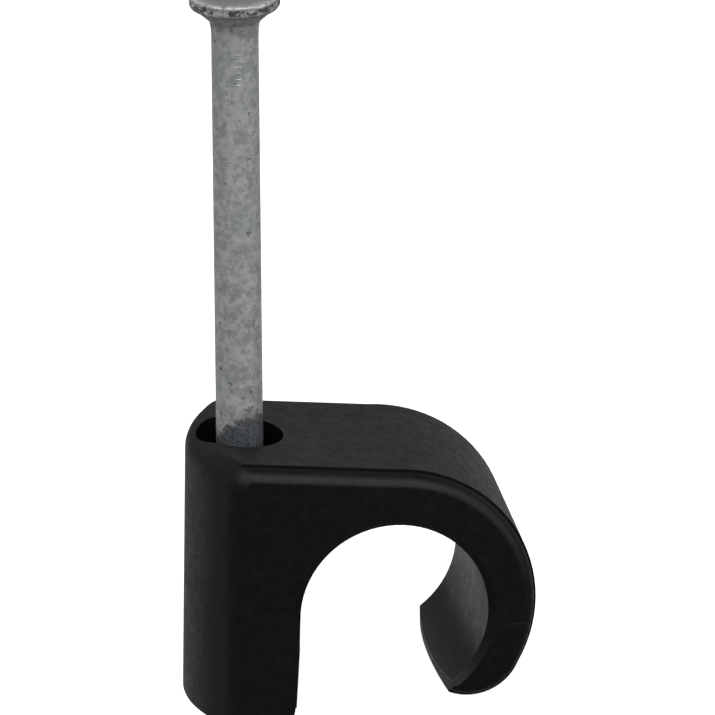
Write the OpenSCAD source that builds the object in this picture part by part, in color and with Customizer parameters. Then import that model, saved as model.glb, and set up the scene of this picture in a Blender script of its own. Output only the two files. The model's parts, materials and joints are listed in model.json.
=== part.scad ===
// Nail-in cable clip: a moulded hook with a boss that carries its own nail.
// Millimetres. The nail stands on the Z axis, the wall is the plane Z = 0,
// the cable runs along Y and the hook reaches out along +X.

/* [Cable seat] */
// Diameter of the cable that the hook holds
cable_d = 10; // [8:0.5:12]
// Radial play between the cable and its seat
cable_play = 0.02; // [0:0.01:0.2]
// Gap between the seated cable and the wall
cable_lift = 0.85; // [0.2:0.05:1.5]
// How much narrower than the cable the mouth is
mouth_snap = 1.9; // [1.2:0.05:2.4]
// Chamfer along the edges of the seat
seat_chamfer = 0.35; // [0.1:0.05:0.6]

/* [Hook] */
// Width of the clip along the cable
clip_w = 11.5; // [9:0.1:14]
// Wall over the cable
crown_wall = 2.97; // [2.2:0.01:4]
// Wall beside the cable
side_wall = 2.63; // [1.8:0.01:3.5]
// Outer radius of the hook beyond the radius of its seat
hook_wall = 2.62; // [2:0.01:3.2]
// Angle at which the top falls towards the hook
top_slope = 5.75; // [2:0.25:10]
// Radius of the curled tip
tip_r = 2.8; // [2:0.1:4]
// Angle below the level at which the tip starts to curl in
tip_turn = 33; // [20:1:45]
// Bulge of the tip's end, seen from above
tip_bow = 0.45; // [0.2:0.05:1]
// Rounding of the outer edges
edge_r = 0.85; // [0.4:0.05:1.4]
// Height of the small step where the rounding meets the outer face
edge_step = 0.12; // [0.04:0.01:0.25]

/* [Boss] */
// Wall between the nail's bore and the cable seat
leg_wall = 1.03; // [0.6:0.01:2]
// Lean of the leg's inner face towards the nail
leg_lean = 3.5; // [1:0.5:6]
// Rounding of the leg's foot at the mouth
foot_r = 1; // [0.4:0.1:1.5]
// Wall behind the recess for the nail's head
back_wall = 0.52; // [0.3:0.01:2]
// Radius of the bowed end, seen from above
bow_r = 9; // [9:0.5:20]
// Radius of the corners of the bowed end
corner_r = 1.8; // [1.6:0.1:2.5]
// Rounding of the upper edge of the bowed end
end_r = 1.3; // [1:0.05:1.45]
// Draft of the bowed end
end_draft = 1.2; // [0.5:0.1:3]

/* [Nail] */
// Diameter of the shank
nail_d = 2.5; // [2:0.1:3]
// Length over all
nail_len = 38; // [30:1:60]
// Diameter of the head
head_d = 4.8; // [3.6:0.05:6]
// Height of the head's rim
head_rim = 0.8; // [0.3:0.05:1.2]
// Height of the cone under the head
head_cone = 0.75; // [0.3:0.05:1.5]
// Length of the point
point_len = 3; // [1.5:0.1:5]
// Diameter of the blunt end of the point
point_d = 0.4; // [0.2:0.05:0.8]
// Height of the point over the wall before the nail is driven
point_h = 1.3; // [0.2:0.1:3]

/* [Nail hole] */
// Diameter of the recess at the top
recess_d = 4.66; // [3.6:0.02:5.5]
// Depth of the recess at the nail's axis
recess_depth = 2.2; // [1.5:0.1:3]
// Height of the funnel from the recess to the bore
funnel_h = 1; // [0.5:0.1:2]
// Radial play of the nail in its bore
bore_play = 0.1; // [0.05:0.01:0.3]
// Radial play of the nail in the collar that grips it
grip_play = 0.01; // [0:0.01:0.04]
// Height of the collar over the wall
grip_h = 5; // [4:0.1:7]
// Length of the collar
grip_len = 3; // [1:0.1:4]

/* [Hidden] */
$fn = 96;
// How far a cut runs past the face that it opens
past = 1;
// The corners of the bowed end stand a little out of its long arc; the arcs run on by these turns
corner_proud = 0.03;
bow_lap = 0.5;
corner_lap = 30;
side_lap = 2;
// The sweeps run a little wider than the clip, and its sides trim them
side_past = 0.02;
// The strap lies a little under the hook's crown and the tip stands a little out of the hook,
// so that neighbouring sweeps cross at a clear angle; each runs into its neighbour by these turns
strap_sink = 0.02;
tip_proud = 0.03;
strap_lap = 9;
hook_lap = 1.5;
tip_lap = 15;
// Share of the room between a sweep's axis and the seat's wall that the sweep leaves open
core_share = 0.85;

// Cable seat
seat_r = cable_d / 2 + cable_play;
seat_z = seat_r + cable_lift;
bore_r = nail_d / 2 + bore_play;
leg_x = bore_r + leg_wall;
seat_x = leg_x + seat_r;

// Hook: a circle that leaves the two walls, and the tip's circle inside it
hook_r = seat_r + hook_wall;
hook_x = seat_x + side_wall - hook_wall;
hook_z = seat_z + crown_wall - hook_wall;
tip_way = hook_r - tip_r + tip_proud;
tip_x = hook_x + tip_way * cos(tip_turn);
tip_z = hook_z - tip_way * sin(tip_turn);
tip_edge_x = leg_x + cable_d - mouth_snap;
tip_bow_r = (pow(clip_w / 2, 2) + pow(tip_bow, 2)) / (2 * tip_bow);
// Middle of the tip's bulging end, and the turn of the tip's sweep that passes it inside the seat
bulge_x = tip_edge_x - tip_bow;
tip_end = 90 + atan2(tip_x - bulge_x, tip_r / 2);

// Inner radii of the hook's and the tip's sweeps, which the cable seat clears away
function core_at(x, z) = core_share * max(0, seat_r - norm([x - seat_x, z - seat_z]));
core_r = core_at(hook_x, hook_z);
tip_core_r = core_at(tip_x, tip_z);

// Top plane, tangent to the hook's circle: its height over a place along X
function top_z(x) = hook_z + (hook_r + (hook_x - x) * sin(top_slope)) / cos(top_slope);

// Bowed end, seen from above: a long arc between two corner arcs
end_x = -recess_d / 2 - back_wall;
bow_x = end_x + bow_r;
strap_len = hook_x - end_x + edge_r + past;
// The corner arcs run a little past the sides, so that the sides cut them at a soft edge
corner_past = 0.12;
corner_y = clip_w / 2 + corner_past - corner_r;
corner_way = bow_r - corner_r + corner_proud;
corner_x = bow_x - sqrt(pow(corner_way, 2) - pow(corner_y, 2));
corner_turn = asin(corner_y / corner_way);
// Top of the end's rounding: over the top plane at the corners, and level with it by the recess
band_z = top_z(corner_x - end_r);

// Nail
shank_r = nail_d / 2;
head_z = point_h + nail_len - head_rim - head_cone;

// Strap, hook and curled tip seen along the cable, filled solid
module outer_outline() {
    strap_top = hook_r - strap_sink;
    translate([hook_x, hook_z]) {
        difference() {
            circle(hook_r);
            rotate(-tip_turn - hook_lap) translate([0, -2 * hook_r]) square(2 * hook_r);
        }
        rotate(-top_slope) translate([-strap_len, -hook_r - past]) square([strap_len, strap_top + hook_r + past]);
    }
    translate([tip_x, tip_z]) circle(tip_r);
}

// Rounded edges cut across: x is the way out, y the way along the cable
module edge_section(start, reach, spare) {
    waist = reach - edge_step - edge_r;
    side = clip_w / 2 + side_past;
    translate([start, -side - spare]) square([waist - start, 2 * (side + spare)]);
    translate([start, edge_r - side]) square([waist + edge_r - start, 2 * (side - edge_r)]);
    for (way = [-1, 1])
        translate([waist, way * (side - edge_r)]) rotate(180) circle(edge_r);
}

// The same strap, hook and tip with rounded edges, a step lower than the outline
module edge_sweep() {
    translate([hook_x, 0, hook_z]) {
        rotate([0, top_slope - 90, 0])
            linear_extrude(height = strap_len) edge_section(-hook_r - past, hook_r - strap_sink, past);
        rotate([90, 0, 0]) rotate([0, 0, -tip_turn - hook_lap])
            rotate_extrude(angle = tip_turn + hook_lap + 90 - top_slope + strap_lap)
                edge_section(core_r, hook_r, 2 * past);
    }
    translate([tip_x, 0, tip_z])
        rotate([90, 0, 0]) rotate([0, 0, -tip_end])
            rotate_extrude(angle = tip_end - tip_turn + tip_lap)
                edge_section(tip_core_r, tip_r - 2 * tip_proud, 3 * past);
}

// Outer form: the raised outline over the rounded edges
module outer_sweep() {
    rotate([90, 0, 0]) linear_extrude(height = clip_w - 2 * edge_r, center = true) outer_outline();
    for (way = [0, 1])
        mirror([0, way, 0]) intersection() {
            edge_sweep();
            translate([end_x - 2 * past, 0, -2 * past])
                cube([hook_x + hook_r - end_x + 3 * past, clip_w / 2, top_z(end_x) + 5 * past]);
        }
}

// Bowed end cut upright: x is the way out from the axis of an arc, y is the height
module end_section(reach) {
    flank_z = band_z - end_r;
    foot = reach + (flank_z + past) * tan(end_draft);
    polygon([[0, -past], [foot, -past], [reach, flank_z], [0, flank_z]]);
    intersection() {
        translate([reach - end_r, flank_z]) circle(end_r);
        square([reach, flank_z + end_r]);
    }
    translate([0, -past]) square([reach - end_r, top_z(end_x) + 2 * past]);
}

// Upright block whose -X end is the bowed end, wider than the strap everywhere else
module end_block() {
    tall = top_z(end_x) + 2 * past;
    translate([bow_x, 0, 0]) rotate([0, 0, 180 - corner_turn - bow_lap])
        rotate_extrude(angle = 2 * (corner_turn + bow_lap)) end_section(bow_r);
    for (side = [0, 1])
        mirror([0, side, 0]) translate([corner_x, corner_y, 0]) rotate([0, 0, 90 - side_lap])
            rotate_extrude(angle = 90 - corner_turn + side_lap + corner_lap) end_section(corner_r);
    translate([corner_x - corner_past, -clip_w / 2 - past, -past])
        cube([hook_x + hook_r - corner_x + 2 * past, clip_w + 2 * past, tall]);
}

// Mouth between the leg and the tip, seen along the cable
module mouth_outline() {
    foot_x = leg_x - seat_z * tan(leg_lean);
    polygon([[leg_x, seat_z], [foot_x, 0], [foot_x, -past], [tip_edge_x, -past], [tip_edge_x, seat_z]]);
    translate([foot_x, 0]) difference() {
        translate([-foot_r, -past]) square([foot_r + past, foot_r + past]);
        translate([-foot_r, foot_r]) circle(foot_r);
    }
}

// Room for the cable: the round seat, its chamfers and the mouth
module cable_space() {
    translate([seat_x, 0, seat_z]) rotate([90, 0, 0]) {
        cylinder(r = seat_r, h = clip_w + 2 * past, center = true);
        for (side = [0, 1])
            mirror([0, 0, side]) translate([0, 0, clip_w / 2 - seat_chamfer])
                cylinder(r1 = seat_r, r2 = seat_r + seat_chamfer + past, h = seat_chamfer + past);
    }
    difference() {
        rotate([90, 0, 0])
            linear_extrude(height = clip_w + 2 * past, center = true) mouth_outline();
        translate([bulge_x + tip_bow_r, 0, -2 * past])
            cylinder(r = tip_bow_r, h = seat_z + 4 * past);
    }
}

// Hole for the nail: the bore with the collar that grips the shank, the funnel and the recess
module nail_hole() {
    recess_r = recess_d / 2;
    recess_z = top_z(0) - recess_depth;
    grip_r = shank_r + grip_play;
    rotate_extrude() polygon([
        [0, -past],
        [bore_r, -past],
        [bore_r, grip_h],
        [grip_r, grip_h],
        [grip_r, grip_h + grip_len],
        [bore_r, grip_h + grip_len],
        [bore_r, recess_z - funnel_h],
        [recess_r, recess_z],
        [recess_r, top_z(end_x) + past],
        [0, top_z(end_x) + past]
    ]);
}

module clip_body() {
    color([0.07, 0.07, 0.075])
        difference() {
            intersection() {
                outer_sweep();
                end_block();
            }
            translate([end_x - 2 * past, -clip_w, -3 * past])
                cube([hook_x + hook_r - end_x + 4 * past, 2 * clip_w, 3 * past]);
            cable_space();
            nail_hole();
        }
}

module nail() {
    color([0.55, 0.56, 0.55])
        rotate_extrude() polygon([
            [0, point_h],
            [point_d / 2, point_h],
            [shank_r, point_h + point_len],
            [shank_r, head_z],
            [head_d / 2, head_z + head_cone],
            [head_d / 2, head_z + head_cone + head_rim],
            [0, head_z + head_cone + head_rim]
        ]);
}

clip_body();
nail();
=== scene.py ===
"""Dresses the nail-in cable clip: a black moulded clip that carries a dull zinc-coated nail."""

import json
import logging
import math
from dataclasses import dataclass
from enum import Enum
from typing import Any, Optional, Union

import bmesh
import bpy
from mathutils import Matrix, Vector


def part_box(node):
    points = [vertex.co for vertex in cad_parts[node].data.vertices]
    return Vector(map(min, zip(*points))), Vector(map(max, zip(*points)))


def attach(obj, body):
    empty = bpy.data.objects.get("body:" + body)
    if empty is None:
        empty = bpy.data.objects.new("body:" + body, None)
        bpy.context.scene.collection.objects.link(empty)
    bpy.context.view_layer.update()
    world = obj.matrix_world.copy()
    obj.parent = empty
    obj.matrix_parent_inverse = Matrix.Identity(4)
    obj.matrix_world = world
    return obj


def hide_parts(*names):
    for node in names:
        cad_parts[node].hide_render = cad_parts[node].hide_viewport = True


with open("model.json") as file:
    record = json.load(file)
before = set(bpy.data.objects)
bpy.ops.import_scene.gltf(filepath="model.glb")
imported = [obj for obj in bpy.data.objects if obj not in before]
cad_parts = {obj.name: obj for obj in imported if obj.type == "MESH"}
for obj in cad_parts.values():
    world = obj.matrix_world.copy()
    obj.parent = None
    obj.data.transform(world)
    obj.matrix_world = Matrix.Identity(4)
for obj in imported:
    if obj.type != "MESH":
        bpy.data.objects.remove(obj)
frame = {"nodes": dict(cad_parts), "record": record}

MM = 0.001
PER_MM = 1 / MM
WHITE = (1.0, 1.0, 1.0, 1.0)
CLOUD_MEAN = 0.5
# The colour sockets of a Mix node go by place, because its kinds of value share their names.
MIX_SHARE, MIX_FIRST, MIX_SECOND, MIX_RESULT = 0, 6, 7, 2
LOG = logging.getLogger("cable_clip")

Number = Union[int, float]
Triple = tuple[float, float, float]
Colour = Triple
Place = Triple
Span = tuple[float, float]


class Sock:
    """One output of a node, which takes part in sums as a number does and adds their Math nodes."""

    def __init__(self, tree: "Tree", socket: bpy.types.NodeSocket) -> None:
        """Keeps the tree and the output socket that this value comes from."""
        self.tree = tree
        self.socket = socket

    def _math(self, operation: str, first: "Value", second: "Value") -> "Sock":
        """Adds one Math node, which works out an operation on two values, and gives its result."""
        return self.tree.node("ShaderNodeMath", {"operation": operation}, {0: first, 1: second})

    def __add__(self, other: "Value") -> "Sock":
        """This value plus another."""
        return self._math("ADD", self, other)

    def __radd__(self, other: Number) -> "Sock":
        """A number plus this value."""
        return self._math("ADD", other, self)

    def __sub__(self, other: "Value") -> "Sock":
        """This value less another."""
        return self._math("SUBTRACT", self, other)

    def __rsub__(self, other: Number) -> "Sock":
        """A number less this value."""
        return self._math("SUBTRACT", other, self)

    def __mul__(self, other: "Value") -> "Sock":
        """This value times another."""
        return self._math("MULTIPLY", self, other)

    def __rmul__(self, other: Number) -> "Sock":
        """A number times this value."""
        return self._math("MULTIPLY", other, self)

    def __pow__(self, other: "Value") -> "Sock":
        """This value to a power."""
        return self._math("POWER", self, other)

    def __rpow__(self, other: Number) -> "Sock":
        """A number to the power of this value."""
        return self._math("POWER", other, self)

    def __abs__(self) -> "Sock":
        """This value without its sign."""
        return self._math("ABSOLUTE", self, 0)

    def sine(self) -> "Sock":
        """The sine of this value, in radians."""
        return self._math("SINE", self, 0)

    def cosine(self) -> "Sock":
        """The cosine of this value, in radians."""
        return self._math("COSINE", self, 0)

    def root(self) -> "Sock":
        """The square root of this value."""
        return self._math("SQRT", self, 0)

    def ramp(self, start: "Value", end: "Value", smooth: bool = True) -> "Sock":
        """How far this value has gone between two others, held between 0 and 1.

        Args:
            start: The value that gives 0.
            end: The value that gives 1; it may be the lower one.
            smooth: Whether the way between them eases in and out.

        Returns:
            The share of the way.
        """
        way = "SMOOTHSTEP" if smooth else "LINEAR"
        sockets = {"Value": self, "From Min": start, "From Max": end}
        return self.tree.node("ShaderNodeMapRange", {"interpolation_type": way}, sockets)


Value = Union[Sock, Number]


class Tree:
    """A node tree under construction, for a material or for Geometry Nodes."""

    def __init__(self, tree: bpy.types.NodeTree) -> None:
        """Keeps the tree that the nodes go into."""
        self.tree = tree

    def add(self, kind: str, settings: dict[str, Any], sockets: dict[Any, Any]) -> bpy.types.Node:
        """Adds one node.

        Args:
            kind: The node's type.
            settings: Its own settings, which are set first.
            sockets: Values or links of its inputs, by name or place.

        Returns:
            The node.
        """
        node = self.tree.nodes.new(kind)
        for name, value in settings.items():
            setattr(node, name, value)
        for key, value in sockets.items():
            for each in value if isinstance(value, list) else [value]:
                if isinstance(each, Sock):
                    self.tree.links.new(each.socket, node.inputs[key])
                else:
                    node.inputs[key].default_value = each
        return node

    def node(self, kind: str, settings: Optional[dict[str, Any]] = None,
             sockets: Optional[dict[Any, Any]] = None, out: Union[int, str] = 0) -> Sock:
        """Adds one node, as add does, and gives the output that out names or numbers."""
        return Sock(self, self.add(kind, settings or {}, sockets or {}).outputs[out])

    def parts(self, vector: Sock) -> list[Sock]:
        """Takes a vector apart into its X, Y and Z."""
        apart = self.add("ShaderNodeSeparateXYZ", {}, {"Vector": vector})
        return [Sock(self, output) for output in apart.outputs]

    def swept(self, curve: Sock, around: int, radius: Value, caps: bool) -> Sock:
        """Runs a ring along a curve, widened by the curve's own radius.

        Args:
            curve: The curve.
            around: Points of the ring.
            radius: The ring's radius where the curve's is 1.
            caps: Whether the ends are closed.

        Returns:
            The skin.
        """
        ring = self.node("GeometryNodeCurvePrimitiveCircle", {"mode": "RADIUS"},
                         {"Resolution": around, "Radius": radius})
        skin = self.add("GeometryNodeCurveToMesh", {},
                        {"Curve": curve, "Profile Curve": ring, "Fill Caps": caps})
        if "Scale" in skin.inputs:
            widening = self.node("GeometryNodeInputRadius")
            self.tree.links.new(widening.socket, skin.inputs["Scale"])
        return Sock(self, skin.outputs[0])


@dataclass(frozen=True)
class Cloud:
    """A cloudy pattern: clouds in a millimetre, steps and weight of finer ones, stretch and shift."""

    per_mm: float
    detail: float = 2.0
    roughness: float = 0.5
    stretch: Optional[Triple] = None
    shift: Triple = (0.0, 0.0, 0.0)


class Surface(Tree):
    """A material under construction, with patterns in millimetres on Object coordinates."""

    def __init__(self, name: str) -> None:
        """Starts a material with an empty tree.

        Args:
            name: The material's name.
        """
        self.material = bpy.data.materials.new(name)
        self.material.use_nodes = True
        super().__init__(self.material.node_tree)
        self.tree.nodes.clear()
        here = self.node("ShaderNodeTexCoord", out="Object")
        self.place = self.node("ShaderNodeMapping", {"vector_type": "POINT"},
                               {"Vector": here, "Scale": (PER_MM, PER_MM, PER_MM)})
        self.x, self.y, self.z = self.parts(self.place)

    def noise(self, cloud: Cloud) -> Sock:
        """Spreads a cloudy pattern over the piece.

        Args:
            cloud: The pattern.

        Returns:
            Its value, from 0 to 1.
        """
        place = self.place
        if cloud.stretch:
            place = self.node("ShaderNodeMapping", {"vector_type": "POINT"},
                              {"Vector": place, "Scale": cloud.stretch, "Location": cloud.shift})
        sockets = {"Vector": place, "Scale": cloud.per_mm, "Detail": cloud.detail,
                   "Roughness": cloud.roughness}
        return self.node("ShaderNodeTexNoise", {"noise_dimensions": "3D"}, sockets)

    def cells(self, per_mm: float) -> Sock:
        """Spreads cells over the piece and gives the distance to the nearest cell's middle."""
        sockets = {"Vector": self.place, "Scale": per_mm}
        return self.node("ShaderNodeTexVoronoi", {"feature": "F1"}, sockets, "Distance")

    def blend(self, share: Value, first: Union[Sock, Colour], second: Union[Sock, Colour]) -> Sock:
        """Mixes two colours.

        Args:
            share: Share of the second one.
            first: The first colour.
            second: The second colour.

        Returns:
            The mixed colour.
        """
        both = [each if isinstance(each, Sock) else (*each, 1.0) for each in (first, second)]
        settings = {"data_type": "RGBA", "clamp_factor": True}
        sockets = {MIX_SHARE: share, MIX_FIRST: both[0], MIX_SECOND: both[1]}
        return self.node("ShaderNodeMix", settings, sockets, MIX_RESULT)

    def bump(self, height: Sock, strength: float, under: Optional[Sock] = None) -> Sock:
        """Raises the surface where a pattern is high.

        Args:
            height: The pattern, in millimetres.
            strength: Share of the full effect.
            under: A bump that this one lies on.

        Returns:
            The bumped normal.
        """
        sockets: dict[Any, Any] = {"Height": height, "Strength": strength, "Distance": MM}
        if under:
            sockets["Normal"] = under
        return self.node("ShaderNodeBump", {}, sockets)

    def finish(self, sockets: dict[str, Any]) -> bpy.types.Material:
        """Ends the tree in a shader.

        Args:
            sockets: Values or links of the shader's inputs.

        Returns:
            The finished material.
        """
        shader = self.node("ShaderNodeBsdfPrincipled", {}, sockets)
        self.add("ShaderNodeOutputMaterial", {}, {"Surface": shader})
        return self.material


@dataclass(frozen=True)
class SatinPlastic:
    """Black polyethylene with the fine grain of an eroded mould, smoother where the core ran.

    Places and depths are in millimetres. A tone is a pattern's share in the colour. A matt value is
    what it adds to the roughness, and a shine value what it takes off. A span gives the two values
    between which a pattern sets in, and a fade two such distances past an edge.
    """

    colour: Colour = (0.0032, 0.0032, 0.0032)
    scuffed: Colour = (0.030, 0.029, 0.028)
    ior: float = 1.5
    specular: float = 0.42
    roughness: float = 0.44
    seat_roughness: float = 0.30
    seat_x: float = 7.40
    seat_z: float = 5.87
    seat_r: float = 5.02
    seat_fade: Span = (0.12, 0.04)
    witness_x: float = 13.3
    witness_z: float = 5.05
    witness_start: float = 0.3
    witness_span: Span = (0.07, 0.02)
    witness_depth: float = 0.02
    grain: Cloud = Cloud(9.0, 3.0, 0.6)
    grain_depth: float = 0.014
    grain_lost_in_seat: float = 0.8
    wave: Cloud = Cloud(0.55)
    wave_depth: float = 0.035
    wave_matt: float = 0.12
    streak: Cloud = Cloud(1.3, 3.0, 0.6, (1.0, 0.35, 1.0))
    streak_depth: float = 0.010
    streak_matt: float = 0.10
    rub: Cloud = Cloud(2.6, 4.0, 0.7)
    rub_span: Span = (0.60, 0.78)
    rub_wave_span: Span = (0.48, 0.62)
    rub_tone: float = 0.30
    rub_shine: float = 0.06
    speck_per_mm: float = 2.1
    speck_span: Span = (0.085, 0.05)
    speck_patch: Cloud = Cloud(0.9)
    speck_patch_span: Span = (0.55, 0.62)
    speck_tone: float = 0.45
    dust: Cloud = Cloud(2.2, 3.0, 0.6, (1.0, 0.7, 1.0))
    dust_span: Span = (0.32, 0.70)
    dust_mean: float = 0.42
    dust_tone: float = 0.05
    dust_matt: float = 0.11
    bump: float = 0.6

    def material(self) -> bpy.types.Material:
        """Builds the clip's material.

        Returns:
            The material.
        """
        s = Surface("satin_black_plastic")
        way = (s.x - self.seat_x) ** 2 + (s.z - self.seat_z) ** 2
        seat = way.root().ramp(*(self.seat_r + past for past in self.seat_fade))
        grain = s.noise(self.grain)
        wave = s.noise(self.wave)
        streak = s.noise(self.streak)
        rubbed = s.noise(self.rub).ramp(*self.rub_span) * wave.ramp(*self.rub_wave_span)
        patch = s.noise(self.speck_patch).ramp(*self.speck_patch_span)
        speck = s.cells(self.speck_per_mm).ramp(*self.speck_span) * patch
        line = abs(s.z - self.witness_z).ramp(*self.witness_span)
        line = line * s.x.ramp(self.witness_x, self.witness_x + self.witness_start)
        dust = s.noise(self.dust).ramp(*self.dust_span)
        marks = self.dust_tone * dust + self.rub_tone * rubbed + self.speck_tone * speck
        colour = s.blend(marks, self.colour, self.scuffed)
        rough = self.roughness + self.wave_matt * (wave - CLOUD_MEAN)
        rough = rough + self.streak_matt * (streak - CLOUD_MEAN) - self.rub_shine * rubbed
        rough = rough + self.dust_matt * (dust - self.dust_mean)
        rough = rough - (self.roughness - self.seat_roughness) * seat
        relief = self.wave_depth * wave + self.streak_depth * streak - self.witness_depth * line
        normal = s.bump(relief, self.bump)
        relief = self.grain_depth * grain * (1 - self.grain_lost_in_seat * seat)
        normal = s.bump(relief, self.bump, normal)
        return s.finish({
            "Base Color": colour, "Roughness": rough, "Normal": normal,
            "IOR": self.ior, "Specular IOR Level": self.specular,
        })


@dataclass(frozen=True)
class DullZinc:
    """Zinc plating that has gone dull: mottled grey, dark pits, painted shade on the head, a nicked edge
    at the head that is worn bright and also painted bright as a highlight, and a painted dark reflection
    of the clip at the foot of the shank.

    Places and depths are in millimetres. A tone is a pattern's share in the colour. A matt value is
    what it adds to the roughness, and a shine value what it takes off. A span gives the two values
    between which a pattern sets in, and a fade two such distances past an edge. The spans of the rim
    and its edge, and the tops and feet of its marks, run down from the edge of the head's face.
    """

    pale: Colour = (0.86, 0.865, 0.845)
    deep: Colour = (0.56, 0.57, 0.555)
    tint: Colour = (0.56, 0.65, 0.635)
    pit: Colour = (0.13, 0.135, 0.13)
    # Colour of the bright flecks on the head's edge: worn metal, and a painted highlight.
    worn_and_highlight: Colour = (0.97, 0.97, 0.96)
    # Colour of the painted shade on the face and the rim of the head.
    painted_head_shade: Colour = (0.39, 0.40, 0.385)
    # Colour of the painted dark reflection of the black clip at the foot of the shank.
    painted_clip_reflection: Colour = (0.085, 0.098, 0.118)
    roughness: float = 0.50
    metallic: float = 0.48
    cloud: Cloud = Cloud(1.15, 4.0, 0.62)
    cloud_tone: float = 0.45
    cloud_depth: float = 0.05
    fleck: Cloud = Cloud(2.9, 3.0, 0.62)
    fleck_tone: float = 0.55
    fleck_depth: float = 0.030
    fleck_matt: float = 0.16
    mottle_span: Span = (0.40, 0.60)
    fine: Cloud = Cloud(11.0, 2.0, 0.6)
    fine_depth: float = 0.008
    drawn: Cloud = Cloud(3.4, 2.0, 0.55, (1.0, 1.0, 0.12))
    drawn_depth: float = 0.02
    drawn_matt: float = 0.12
    pitting: Cloud = Cloud(3.1, 3.0, 0.7, (1.0, 1.0, 0.8), (7.3, 1.9, 4.1))
    pit_span: Span = (0.60, 0.70)
    pit_tone: float = 0.75
    pit_depth: float = 0.03
    pit_matt: float = 0.12
    cold: Cloud = Cloud(0.45, 1.0)
    cold_span: Span = (0.45, 0.65)
    cold_tone: float = 0.20
    cold_deep_tone: float = 0.40
    edge_z: float = 39.1
    head_r: float = 2.4
    rim_in: Span = (0.22, 0.12)
    rim_span: Span = (0.85, 0.70)
    # Shares of the painted shade on the rim and on the face of the head.
    rim_shade_tone: float = 0.60
    face_span: Span = (-0.02, 0.05)
    face_shade_tone: float = 0.90
    nicks: Cloud = Cloud(2.9, 2.0, 0.6)
    edge_wander: float = 0.5
    edge_span: Span = (0.19, 0.07)
    edge_nicks: Span = (0.36, 0.46)
    spot_top: Span = (0.22, 0.30)
    spot_foot: Span = (0.60, 0.50)
    spot_nicks: Span = (0.51, 0.56)
    gap_top: Span = (0.08, 0.15)
    gap_foot: Span = (0.52, 0.42)
    gap_nicks: Span = (0.49, 0.43)
    gap_tone: float = 0.95
    worn_shine: float = 0.24
    # Height, waviness and fade of the painted dark reflection of the clip at the shank's foot.
    painted_reflection_z: float = 15.85
    painted_reflection_rise: float = 0.50
    painted_reflection_fleck: float = 2.4
    painted_reflection_cloud: float = 1.2
    painted_reflection_fade: Span = (0.40, -0.30)
    painted_reflection_tone: float = 0.35
    broad_bump: float = 0.5
    fine_bump: float = 0.75

    def material(self) -> bpy.types.Material:
        """Builds the nail's material.

        Returns:
            The material.
        """
        s = Surface("dull_zinc_coat")
        cloud = s.noise(self.cloud)
        fleck = s.noise(self.fleck)
        fine = s.noise(self.fine)
        drawn = s.noise(self.drawn)
        pits = s.noise(self.pitting).ramp(*self.pit_span)
        cold = s.noise(self.cold).ramp(*self.cold_span)
        share = (self.cloud_tone * cloud + self.fleck_tone * fleck).ramp(*self.mottle_span)
        colour = s.blend(share, self.deep, self.pale)
        cooled = cold * (self.cold_tone + self.cold_deep_tone * (1 - share))
        colour = s.blend(cooled, colour, self.tint)
        colour = s.blend(self.pit_tone * pits, colour, self.pit)
        colour, worn_and_highlight = self._head(s, colour)
        # Painted reflection: the zinc is darkened below a wavy line just above the hole, where the shiny
        # nail mirrors the black plastic.
        brim = self.painted_reflection_z + self.painted_reflection_rise * (s.x - s.x ** 2)
        brim = brim + self.painted_reflection_fleck * (fleck - CLOUD_MEAN) + self.painted_reflection_cloud * (cloud - CLOUD_MEAN)
        painted_clip_reflection = s.z.ramp(*(brim + past for past in self.painted_reflection_fade))
        colour = s.blend(painted_clip_reflection * (self.painted_reflection_tone + fine), colour, self.painted_clip_reflection)
        rough = self.roughness + self.fleck_matt * (fleck - CLOUD_MEAN)
        rough = rough + self.drawn_matt * (drawn - CLOUD_MEAN) + self.pit_matt * pits
        rough = rough - self.worn_shine * worn_and_highlight
        normal = s.bump(self.cloud_depth * cloud + self.drawn_depth * drawn, self.broad_bump)
        relief = self.fleck_depth * fleck + self.fine_depth * fine - self.pit_depth * pits
        normal = s.bump(relief, self.fine_bump, normal)
        return s.finish({
            "Base Color": colour, "Roughness": rough, "Metallic": self.metallic, "Normal": normal,
        })

    def _head(self, s: Surface, colour: Sock) -> tuple[Sock, Sock]:
        """Paints shade on the head's face and rim, and brightens its edge in flecks of wear and painted
        highlight.

        Args:
            s: The material under construction.
            colour: The colour of the coat.

        Returns:
            The colour with the head's painted shade and marks, and the mask of the bright places, which
            are worn and painted as highlight.
        """
        below = self.edge_z - s.z
        outer = (s.x ** 2 + s.y ** 2).root().ramp(*(self.head_r - inset for inset in self.rim_in))
        nicks = s.noise(self.nicks)
        edge = (below + self.edge_wander * (nicks - CLOUD_MEAN)).ramp(*self.edge_span)
        edge = edge * nicks.ramp(*self.edge_nicks)
        spots = below.ramp(*self.spot_top) * below.ramp(*self.spot_foot) * nicks.ramp(*self.spot_nicks)
        gaps = below.ramp(*self.gap_top) * below.ramp(*self.gap_foot) * nicks.ramp(*self.gap_nicks)
        # Painted shade: the rim and the face of the head are darkened, as the light falls dimmer on
        # them.
        rim = outer * below.ramp(*self.rim_span)
        face = s.z.ramp(*(self.edge_z + past for past in self.face_span))
        painted_head_shade = self.rim_shade_tone * rim + self.face_shade_tone * face * (1 - rim)
        # Bright flecks along the head's edge: worn metal and a painted highlight at once.
        worn_and_highlight = outer * (edge + spots)
        colour = s.blend(painted_head_shade, colour, self.painted_head_shade)
        colour = s.blend(self.gap_tone * outer * gaps, colour, self.pit)
        return s.blend(worn_and_highlight, colour, self.worn_and_highlight), worn_and_highlight


class Bend(Enum):
    """How a stretch of a turned outline runs."""

    STRAIGHT = "straight"
    OUT_THEN_UP = "out then up"
    UP_THEN_OUT = "up then out"


class Side(Enum):
    """The sides of the shank that the heading dies closed on, as angles about the nail's axis."""

    FRONT = -90.0
    BACK = 90.0


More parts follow.
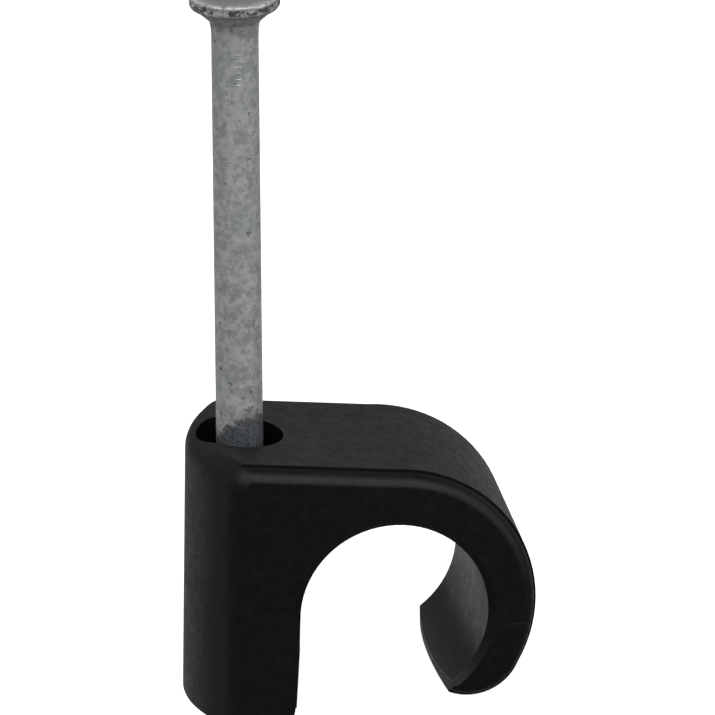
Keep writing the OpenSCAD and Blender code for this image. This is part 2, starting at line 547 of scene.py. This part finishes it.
class Outline:
    """The outline of a turned piece, as fields over the numbered points of its axis."""

    def __init__(self, tree: Tree, foot: Sock) -> None:
        """Starts on the axis.

        Args:
            tree: The tree that the fields go into.
            foot: The height of the foot.
        """
        self.index = tree.node("GeometryNodeInputIndex")
        self.points = 1
        self.r: Value = 0.0
        self.z: Value = foot

    def run(self, points: int, out: Value, up: Value, bend: Bend = Bend.STRAIGHT) -> None:
        """Adds one stretch.

        Args:
            points: Points along it.
            out: How far it goes out from the axis.
            up: How far it goes up.
            bend: How it runs.
        """
        way = self.index.ramp(self.points - 1, self.points - 1 + points, smooth=False)
        out_share, up_share = way, way
        if bend is not Bend.STRAIGHT:
            turn = way * (math.pi / 2)
            early, late = turn.sine(), 1 - turn.cosine()
            out_share, up_share = (early, late) if bend is Bend.OUT_THEN_UP else (late, early)
        self.r = out_share * out + self.r
        self.z = up_share * up + self.z
        self.points += points


@dataclass
class Nail:
    """The headed wire nail, turned about its axis, with the marks of the heading dies on its shank.

    Sizes are in millimetres and turns in degrees. Steps are the points along a stretch. The end's
    bulge is a share of the point's radius, the nick band of the head's radius, and a mark's sink and
    end of the mark's own radius.
    """

    finish: DullZinc
    shank_r: float = 1.25
    shank_steps: int = 260
    point_r: float = 0.2
    point_len: float = 3.0
    point_steps: int = 10
    end_bulge: float = 0.1
    end_steps: int = 2
    neck_out: float = 0.20
    neck_h: float = 1.0
    neck_steps: int = 12
    cone_h: float = 0.75
    cone_steps: int = 8
    rim_h: float = 0.80
    rim_steps: int = 4
    brim_r: float = 0.30
    brim_steps: int = 8
    edge_r: float = 0.09
    edge_steps: int = 5
    crown: float = 0.20
    crown_steps: int = 10
    around: int = 96
    merge: float = 0.0001
    seed: float = 4.0
    lump: float = 0.012
    lump_per_mm: float = 1.4
    lump_detail: float = 2.0
    nick: float = 0.07
    nick_per_mm: float = 2.6
    nick_detail: float = 3.0
    nick_seed: float = 3.0
    nick_span: Span = (0.52, 0.75)
    nick_band: Span = (0.86, 0.97)
    mark_count: int = 6
    mark_pitch: float = 0.335
    mark_drop: float = 3.2
    mark_r: float = 0.055
    mark_sink: float = 0.6
    mark_end: float = 0.1
    mark_turn: float = 30.0
    mark_steps: int = 14
    mark_around: int = 8

    def build(self, node: str) -> bpy.types.Object:
        """Makes the nail's mesh over the CAD nail's place.

        Args:
            node: The CAD node that it stands for.

        Returns:
            The nail, as a plain mesh.
        """
        low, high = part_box(node)
        lengths = {
            "Shank Radius": self.shank_r, "Point Radius": self.point_r, "Point Length": self.point_len,
            "Neck Width": self.neck_out, "Neck Height": self.neck_h, "Cone Height": self.cone_h,
            "Rim Height": self.rim_h, "Brim Radius": self.brim_r, "Edge Radius": self.edge_r,
            "Crown": self.crown, "Lump Depth": self.lump, "Nick Depth": self.nick,
            "Mark Pitch": self.mark_pitch, "Mark Drop": self.mark_drop, "Mark Radius": self.mark_r,
        }
        sizes = {name: length * MM for name, length in lengths.items()}
        sizes |= {"Foot": low.z, "Top": high.z, "Head Radius": high.x}
        sizes |= {"Mark Turn": math.radians(self.mark_turn), "Seed": self.seed}
        tree = bpy.data.node_groups.new("turned_nail", "GeometryNodeTree")
        ids = {}
        for name in sizes:
            entry = tree.interface.new_socket(name=name, in_out="INPUT", socket_type="NodeSocketFloat")
            ids[name] = entry.identifier
        tree.interface.new_socket(name="Mesh", in_out="OUTPUT", socket_type="NodeSocketGeometry")
        self._grow(Tree(tree))
        blank = bpy.data.objects.new("nail_tree", bpy.data.meshes.new("nail_tree"))
        bpy.context.scene.collection.objects.link(blank)
        modifier = blank.modifiers.new("turned_nail", "NODES")
        modifier.node_group = tree
        for name, identifier in ids.items():
            modifier[identifier] = sizes[name]
        graph = bpy.context.evaluated_depsgraph_get()
        mesh = bpy.data.meshes.new_from_object(blank.evaluated_get(graph))
        blank.modifiers.remove(modifier)
        bpy.data.objects.remove(blank)
        mesh.name = "zinc_nail"
        piece = bpy.data.objects.new("zinc_nail", mesh)
        bpy.context.scene.collection.objects.link(piece)
        return piece

    def dress(self, piece: bpy.types.Object, node: str) -> None:
        """Fastens the nail to the frame and hides the CAD nail that it stands for.

        Args:
            piece: The nail.
            node: The CAD node that it replaces.
        """
        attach(piece, "root")
        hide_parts(node)

    def _grow(self, t: Tree) -> None:
        """Builds the tree that turns the nail and sets its die marks.

        Args:
            t: The empty tree, with its inputs.
        """
        group = t.add("NodeGroupInput", {}, {})
        size = {output.name: Sock(t, output) for output in group.outputs if output.name}
        body = self._worn(t, size, self._turned(t, size))
        marks = [self._marks(t, size, side) for side in Side]
        whole = t.node("GeometryNodeJoinGeometry", {}, {"Geometry": [body, *marks]})
        whole = t.node("GeometryNodeRealizeInstances", {}, {"Geometry": whole})
        whole = t.node("GeometryNodeSetShadeSmooth", {}, {"Geometry": whole, "Shade Smooth": True})
        coat = self.finish.material()
        whole = t.node("GeometryNodeSetMaterial", {}, {"Geometry": whole, "Material": coat})
        t.add("NodeGroupOutput", {}, {"Mesh": whole})

    def _turned(self, t: Tree, size: dict[str, Sock]) -> Sock:
        """The nail's smooth form: its outline, turned about its axis.

        Args:
            t: The tree.
            size: Its inputs.

        Returns:
            The mesh.
        """
        line = Outline(t, size["Foot"])
        edge, brim, neck = size["Edge Radius"], size["Brim Radius"], size["Neck Width"]
        cone_out = size["Head Radius"] - size["Shank Radius"] - neck - brim
        half_brim = 0.5 * brim
        cone_up = size["Cone Height"] - half_brim
        rim_up = size["Rim Height"] - half_brim - edge - size["Crown"]
        end_up = self.end_bulge * size["Point Radius"]
        over = size["Neck Height"] + size["Cone Height"] + size["Rim Height"]
        shank_up = size["Top"] - size["Foot"] - end_up - size["Point Length"] - over
        line.run(self.end_steps, size["Point Radius"], end_up)
        line.run(self.point_steps, size["Shank Radius"] - size["Point Radius"], size["Point Length"])
        line.run(self.shank_steps, 0.0, shank_up)
        line.run(self.neck_steps, neck, size["Neck Height"], Bend.UP_THEN_OUT)
        line.run(self.cone_steps, cone_out, cone_up)
        line.run(self.brim_steps, brim, brim, Bend.OUT_THEN_UP)
        line.run(self.rim_steps, 0.0, rim_up)
        line.run(self.edge_steps, -1 * edge, edge, Bend.UP_THEN_OUT)
        line.run(self.crown_steps, edge - size["Head Radius"], size["Crown"])
        place = t.node("ShaderNodeCombineXYZ", {}, {"Z": line.z})
        points = t.node("GeometryNodePoints", {}, {"Count": line.points, "Position": place})
        axis = t.node("GeometryNodePointsToCurves", {}, {"Points": points})
        axis = t.node("GeometryNodeSetCurveRadius", {}, {"Curve": axis, "Radius": line.r})
        skin = t.swept(axis, self.around, 1.0, caps=False)
        return t.node("GeometryNodeMergeByDistance", {}, {"Geometry": skin, "Distance": self.merge * MM})

    def _worn(self, t: Tree, size: dict[str, Sock], body: Sock) -> Sock:
        """Presses shallow lumps into the whole skin and nicks into the edges of the head.

        Args:
            t: The tree.
            size: Its inputs.
            body: The smooth nail.

        Returns:
            The worn nail.
        """
        place = t.node("GeometryNodeInputPosition")
        normal = t.node("GeometryNodeInputNormal")
        x, y, _ = t.parts(place)
        lumps = t.node("ShaderNodeTexNoise", {"noise_dimensions": "4D"}, {
            "Vector": place, "W": size["Seed"],
            "Scale": self.lump_per_mm * PER_MM, "Detail": self.lump_detail,
        })
        bites = t.node("ShaderNodeTexNoise", {"noise_dimensions": "4D"}, {
            "Vector": place, "W": size["Seed"] + self.nick_seed,
            "Scale": self.nick_per_mm * PER_MM, "Detail": self.nick_detail,
        })
        outer = (x ** 2 + y ** 2).root().ramp(*(size["Head Radius"] * part for part in self.nick_band))
        depth = size["Lump Depth"] * lumps + size["Nick Depth"] * bites.ramp(*self.nick_span) * outer
        push = t.node("ShaderNodeVectorMath", {"operation": "SCALE"}, {0: normal, "Scale": -1 * depth})
        return t.node("GeometryNodeSetPosition", {}, {"Geometry": body, "Offset": push})

    def _marks(self, t: Tree, size: dict[str, Sock], side: Side) -> Sock:
        """The row of short ribs that one heading die left across the shank.

        Args:
            t: The tree.
            size: Its inputs.
            side: The side of the shank.

        Returns:
            The ribs, as instances.
        """
        arc = t.node("GeometryNodeCurveArc", {"mode": "RADIUS"}, {
            "Resolution": self.mark_steps,
            "Radius": size["Shank Radius"] - self.mark_sink * size["Mark Radius"],
            "Start Angle": math.radians(side.value) - 0.5 * size["Mark Turn"],
            "Sweep Angle": size["Mark Turn"],
        })
        along = t.node("GeometryNodeSplineParameter", out="Factor")
        taper = (along * math.pi).sine() * (1 - self.mark_end) + self.mark_end
        arc = t.node("GeometryNodeSetCurveRadius", {}, {"Curve": arc, "Radius": taper})
        rib = t.swept(arc, self.mark_around, size["Mark Radius"], caps=True)
        first = t.node("ShaderNodeCombineXYZ", {}, {"Z": size["Top"] - size["Mark Drop"]})
        step = t.node("ShaderNodeCombineXYZ", {}, {"Z": -1 * size["Mark Pitch"]})
        row = t.node("GeometryNodeMeshLine", {"mode": "OFFSET"},
                     {"Count": self.mark_count, "Start Location": first, "Offset": step})
        return t.node("GeometryNodeInstanceOnPoints", {}, {"Points": row, "Instance": rib})


@dataclass
class Clip:
    """The moulded clip: the boss for the nail and the hook that snaps over the cable.

    Points nearer than merge, in millimetres, become one. Edges over crease, in degrees, stay sharp.
    """

    finish: SatinPlastic
    merge: float = 0.0005
    crease: float = 22.0
    even_weight: int = 60

    def build(self, node: str) -> bpy.types.Object:
        """Makes a merged, smoothly shaded copy of the CAD clip.

        Args:
            node: The CAD node that is copied.

        Returns:
            The clip.
        """
        mesh = frame["nodes"][node].data.copy()
        mesh.name = "moulded_clip"
        soft = bmesh.new()
        soft.from_mesh(mesh)
        bmesh.ops.remove_doubles(soft, verts=soft.verts, dist=self.merge * MM)
        limit = math.radians(self.crease)
        for face in soft.faces:
            face.smooth = True
        for edge in soft.edges:
            edge.smooth = len(edge.link_faces) == 2 and edge.calc_face_angle() < limit
        soft.to_mesh(mesh)
        soft.free()
        piece = bpy.data.objects.new("moulded_clip", mesh)
        bpy.context.scene.collection.objects.link(piece)
        even = piece.modifiers.new("even_normals", "WEIGHTED_NORMAL")
        even.keep_sharp = True
        even.weight = self.even_weight
        return piece

    def dress(self, piece: bpy.types.Object, node: str) -> None:
        """Gives the clip its finish and fastens it to the frame.

        Args:
            piece: The clip.
            node: The CAD node that it replaces.
        """
        piece.data.materials.clear()
        piece.data.materials.append(self.finish.material())
        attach(piece, "root")
        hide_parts(node)


@dataclass(frozen=True)
class Softbox:
    """One soft light, in metres: a glowing panel that the camera doesn't see."""

    name: str
    place: Place
    width: float
    height: float
    radiance: float
    aim: Place = (0.0, 0.0, 0.012)

    def hang(self) -> None:
        """Hangs the panel in the scene, turned to its aim."""
        light = bpy.data.lights.new(self.name, "AREA")
        light.shape = "RECTANGLE"
        light.size, light.size_y = self.width, self.height
        light.energy = self.radiance * math.pi * self.width * self.height
        panel = bpy.data.objects.new(self.name, light)
        way = Vector(self.aim) - Vector(self.place)
        turn = way.to_track_quat("-Z", "Y").to_matrix().to_4x4()
        panel.matrix_world = Matrix.Translation(self.place) @ turn
        panel.visible_camera = False
        bpy.context.scene.collection.objects.link(panel)


@dataclass
class Studio:
    """The pale floor, the soft lights and the camera at the photograph's angle.

    The camera's target and sensor are in millimetres, its angles in degrees and its scale in pixels to
    the millimetre. Other lengths are in metres.
    """

    azimuth: float = -8.53
    elevation: float = 20.61
    roll: float = 0.46
    scale_px: float = 18.91
    target: Place = (6.347, 0.044, 18.388)
    distance: float = 0.6
    image_px: int = 715
    sensor: float = 36.0
    clip_near: float = 0.05
    clip_far: float = 50.0
    floor_r: float = 6.0
    floor_sides: int = 96
    floor_drop: float = 0.00002
    floor_cloud: Cloud = Cloud(0.002, 1.0)
    floor_dull: Colour = (0.90, 0.90, 0.90)
    floor_pale: Colour = (0.93, 0.93, 0.93)
    floor_roughness: float = 0.9
    floor_glow: float = 0.90
    room: float = 0.10
    lights: tuple[Softbox, ...] = (
        Softbox("back_wall", (0.0, 0.52, 0.31), 1.5, 0.34, 0.24),
        Softbox("back_table", (0.0, 0.54, -0.25), 1.5, 0.44, 0.22),
        Softbox("overhead", (-0.10, -0.42, 0.50), 1.2, 0.7, 1.25, (0.005, 0.0, 0.015)),
        Softbox("back_right", (0.34, 0.49, 0.04), 0.5, 0.28, 0.14),
        Softbox("left_wall", (-0.55, 0.10, 0.12), 0.7, 0.6, 0.14),
        Softbox("right_wall", (0.56, -0.28, 0.26), 0.6, 0.6, 0.75),
    )

    def build(self) -> None:
        """Sets up the floor, the room, the lights and the camera."""
        self._floor()
        self._room()
        for light in self.lights:
            light.hang()
            LOG.info("light %s", light.name)
        self._camera()

    def _floor(self) -> None:
        """Lays a wide pale floor that no shine of the part mirrors."""
        disc = bmesh.new()
        bmesh.ops.create_circle(disc, cap_ends=True, segments=self.floor_sides, radius=self.floor_r)
        mesh = bpy.data.meshes.new("pale_floor")
        disc.to_mesh(mesh)
        disc.free()
        s = Surface("pale_floor")
        colour = s.blend(s.noise(self.floor_cloud), self.floor_dull, self.floor_pale)
        mesh.materials.append(s.finish({
            "Base Color": colour, "Roughness": self.floor_roughness,
            "Emission Color": WHITE, "Emission Strength": self.floor_glow,
        }))
        floor = bpy.data.objects.new("pale_floor", mesh)
        floor.location.z = -self.floor_drop
        floor.visible_glossy = False
        floor.visible_diffuse = False
        floor.visible_shadow = False
        bpy.context.scene.collection.objects.link(floor)

    def _room(self) -> None:
        """Fills the dark room round the part with a little even light."""
        world = bpy.data.worlds.new("dim_room")
        world.use_nodes = True
        back = world.node_tree.nodes["Background"]
        back.inputs["Color"].default_value = WHITE
        back.inputs["Strength"].default_value = self.room
        bpy.context.scene.world = world
        bpy.context.scene.view_settings.view_transform = "Standard"

    def _camera(self) -> None:
        """Puts up the camera with a long lens, turned as the photograph is."""
        a, e, r = (math.radians(angle) for angle in (self.azimuth, self.elevation, self.roll))
        back = Vector((math.sin(a) * math.cos(e), -math.cos(a) * math.cos(e), math.sin(e)))
        level = Vector((math.cos(a), math.sin(a), 0.0))
        rise = back.cross(level)
        right = level * math.cos(r) - rise * math.sin(r)
        up = level * math.sin(r) + rise * math.cos(r)
        lens = bpy.data.cameras.new("photo_camera")
        lens.sensor_fit = "HORIZONTAL"
        lens.sensor_width = self.sensor
        lens.lens = self.sensor * self.distance * self.scale_px * PER_MM / self.image_px
        lens.clip_start, lens.clip_end = self.clip_near, self.clip_far
        camera = bpy.data.objects.new("photo_camera", lens)
        turn = Matrix((right, up, back)).transposed().to_4x4()
        stand = Vector(self.target) * MM + back * self.distance
        camera.matrix_world = Matrix.Translation(stand) @ turn
        bpy.context.scene.collection.objects.link(camera)
        bpy.context.scene.camera = camera


def main() -> None:
    """Builds the studio and the two pieces in order."""
    logging.basicConfig(level=logging.INFO, format="%(name)s: %(message)s")
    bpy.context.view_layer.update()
    Studio().build()
    seat = next(mount for mount in frame["record"]["mounts"] if mount["name"] == "cable_seat")
    seat_x, _, seat_z = (metres * PER_MM for metres in seat["pos_m"])
    clip = Clip(SatinPlastic(seat_x=seat_x, seat_z=seat_z, seat_r=seat["dims"]["r_mm"]))
    body = clip.build("clip_body")
    clip.dress(body, "clip_body")
    LOG.info("%s: %d faces", body.name, len(body.data.polygons))
    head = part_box("nail")[1] * PER_MM
    nail = Nail(DullZinc(edge_z=head.z - Nail.crown, head_r=head.x))
    shank = nail.build("nail")
    nail.dress(shank, "nail")
    LOG.info("%s: %d faces", shank.name, len(shank.data.polygons))


if __name__ == "__main__":
    main()
